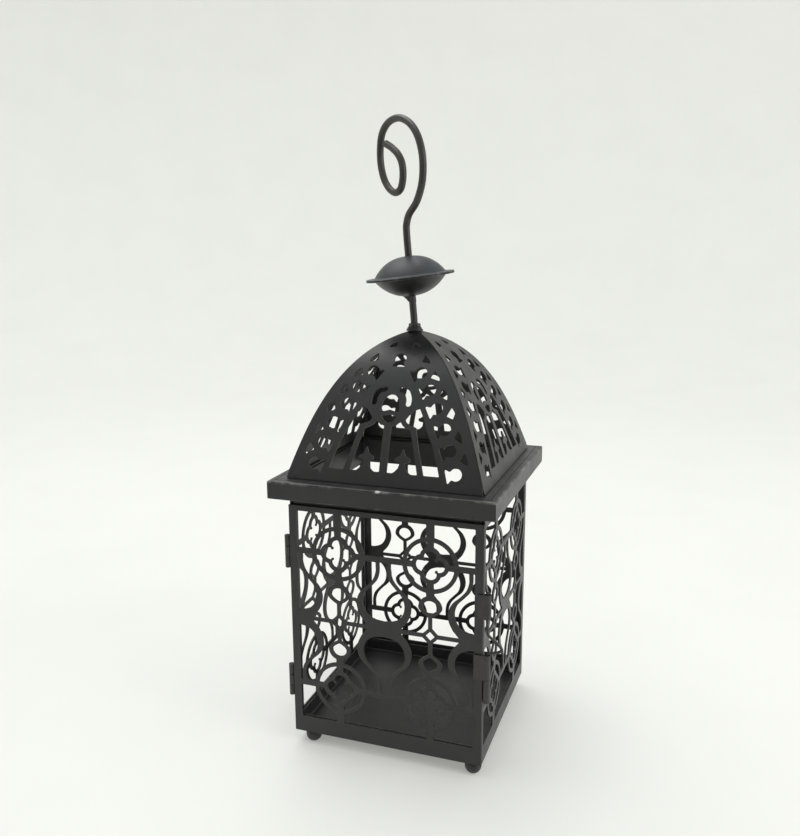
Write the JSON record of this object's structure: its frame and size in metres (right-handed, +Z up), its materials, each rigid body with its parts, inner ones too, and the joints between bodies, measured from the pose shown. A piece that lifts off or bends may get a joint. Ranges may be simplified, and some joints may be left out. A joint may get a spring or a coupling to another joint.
{
  "type": "pierced metal candle lantern",
  "caption": "Square pierced-metal candle lantern with a domed roof, ball feet, a side-hinged front door with a drop-pin latch, and a curled wire hanging hook with a dished disc.",
  "frame": {"origin": "middle of the floor that the four feet stand on, under the roof's apex", "axes": "+Z up, the hinged door faces -Y, its hinges are on the -X side and its latch on the +X side"},
  "size_m": [0.151, 0.1484, 0.4146],
  "materials": {
    "lantern_paint": "satin charcoal-black paint on steel sheet, slightly worn on its edges",
    "wire_paint": "satin brownish-black paint on steel wire",
    "fastener_paint": "satin black paint on steel fittings"
  },
  "bodies": {
    "lantern_body": {"base_tray": "lantern_paint", "foot_front_left": "lantern_paint", "foot_front_right": "lantern_paint", "foot_back_left": "lantern_paint", "foot_back_right": "lantern_paint", "left_wall": "lantern_paint", "right_wall": "lantern_paint", "back_wall": "lantern_paint", "top_frame": "lantern_paint", "eave_front": "lantern_paint", "eave_right": "lantern_paint", "eave_back": "lantern_paint", "eave_left": "lantern_paint", "roof_front": "lantern_paint", "roof_right": "lantern_paint", "roof_back": "lantern_paint", "roof_left": "lantern_paint", "apex_collar": "lantern_paint", "hook_nut": "fastener_paint", "inner_washer": "fastener_paint", "inner_nut": "fastener_paint", "hook_rod": "wire_paint", "disc_upper_shell": "lantern_paint", "disc_lower_shell": "lantern_paint", "hinge_upper_body_leaf": "fastener_paint", "hinge_upper_pin": "fastener_paint", "hinge_lower_body_leaf": "fastener_paint", "hinge_lower_pin": "fastener_paint", "latch_keeper": "fastener_paint"},
    "door": {"door_panel": "lantern_paint", "hinge_upper_door_knuckle": "fastener_paint", "hinge_lower_door_knuckle": "fastener_paint", "latch_upper_loop": "fastener_paint", "latch_lower_loop": "fastener_paint"},
    "latch_pin": {"latch_pin": "wire_paint"}
  },
  "joints": [
    {"name": "door_swing", "type": "hinge", "parent": "lantern_body", "child": "door", "pos_m": [-0.0672, -0.0619, 0.09], "axis": [0, 0, -1], "range_deg": [0, 180]},
    {"name": "latch_lift", "type": "slide", "parent": "door", "child": "latch_pin", "axis": [0, 0, 1], "range_m": [0, 0.009]}
  ]
}
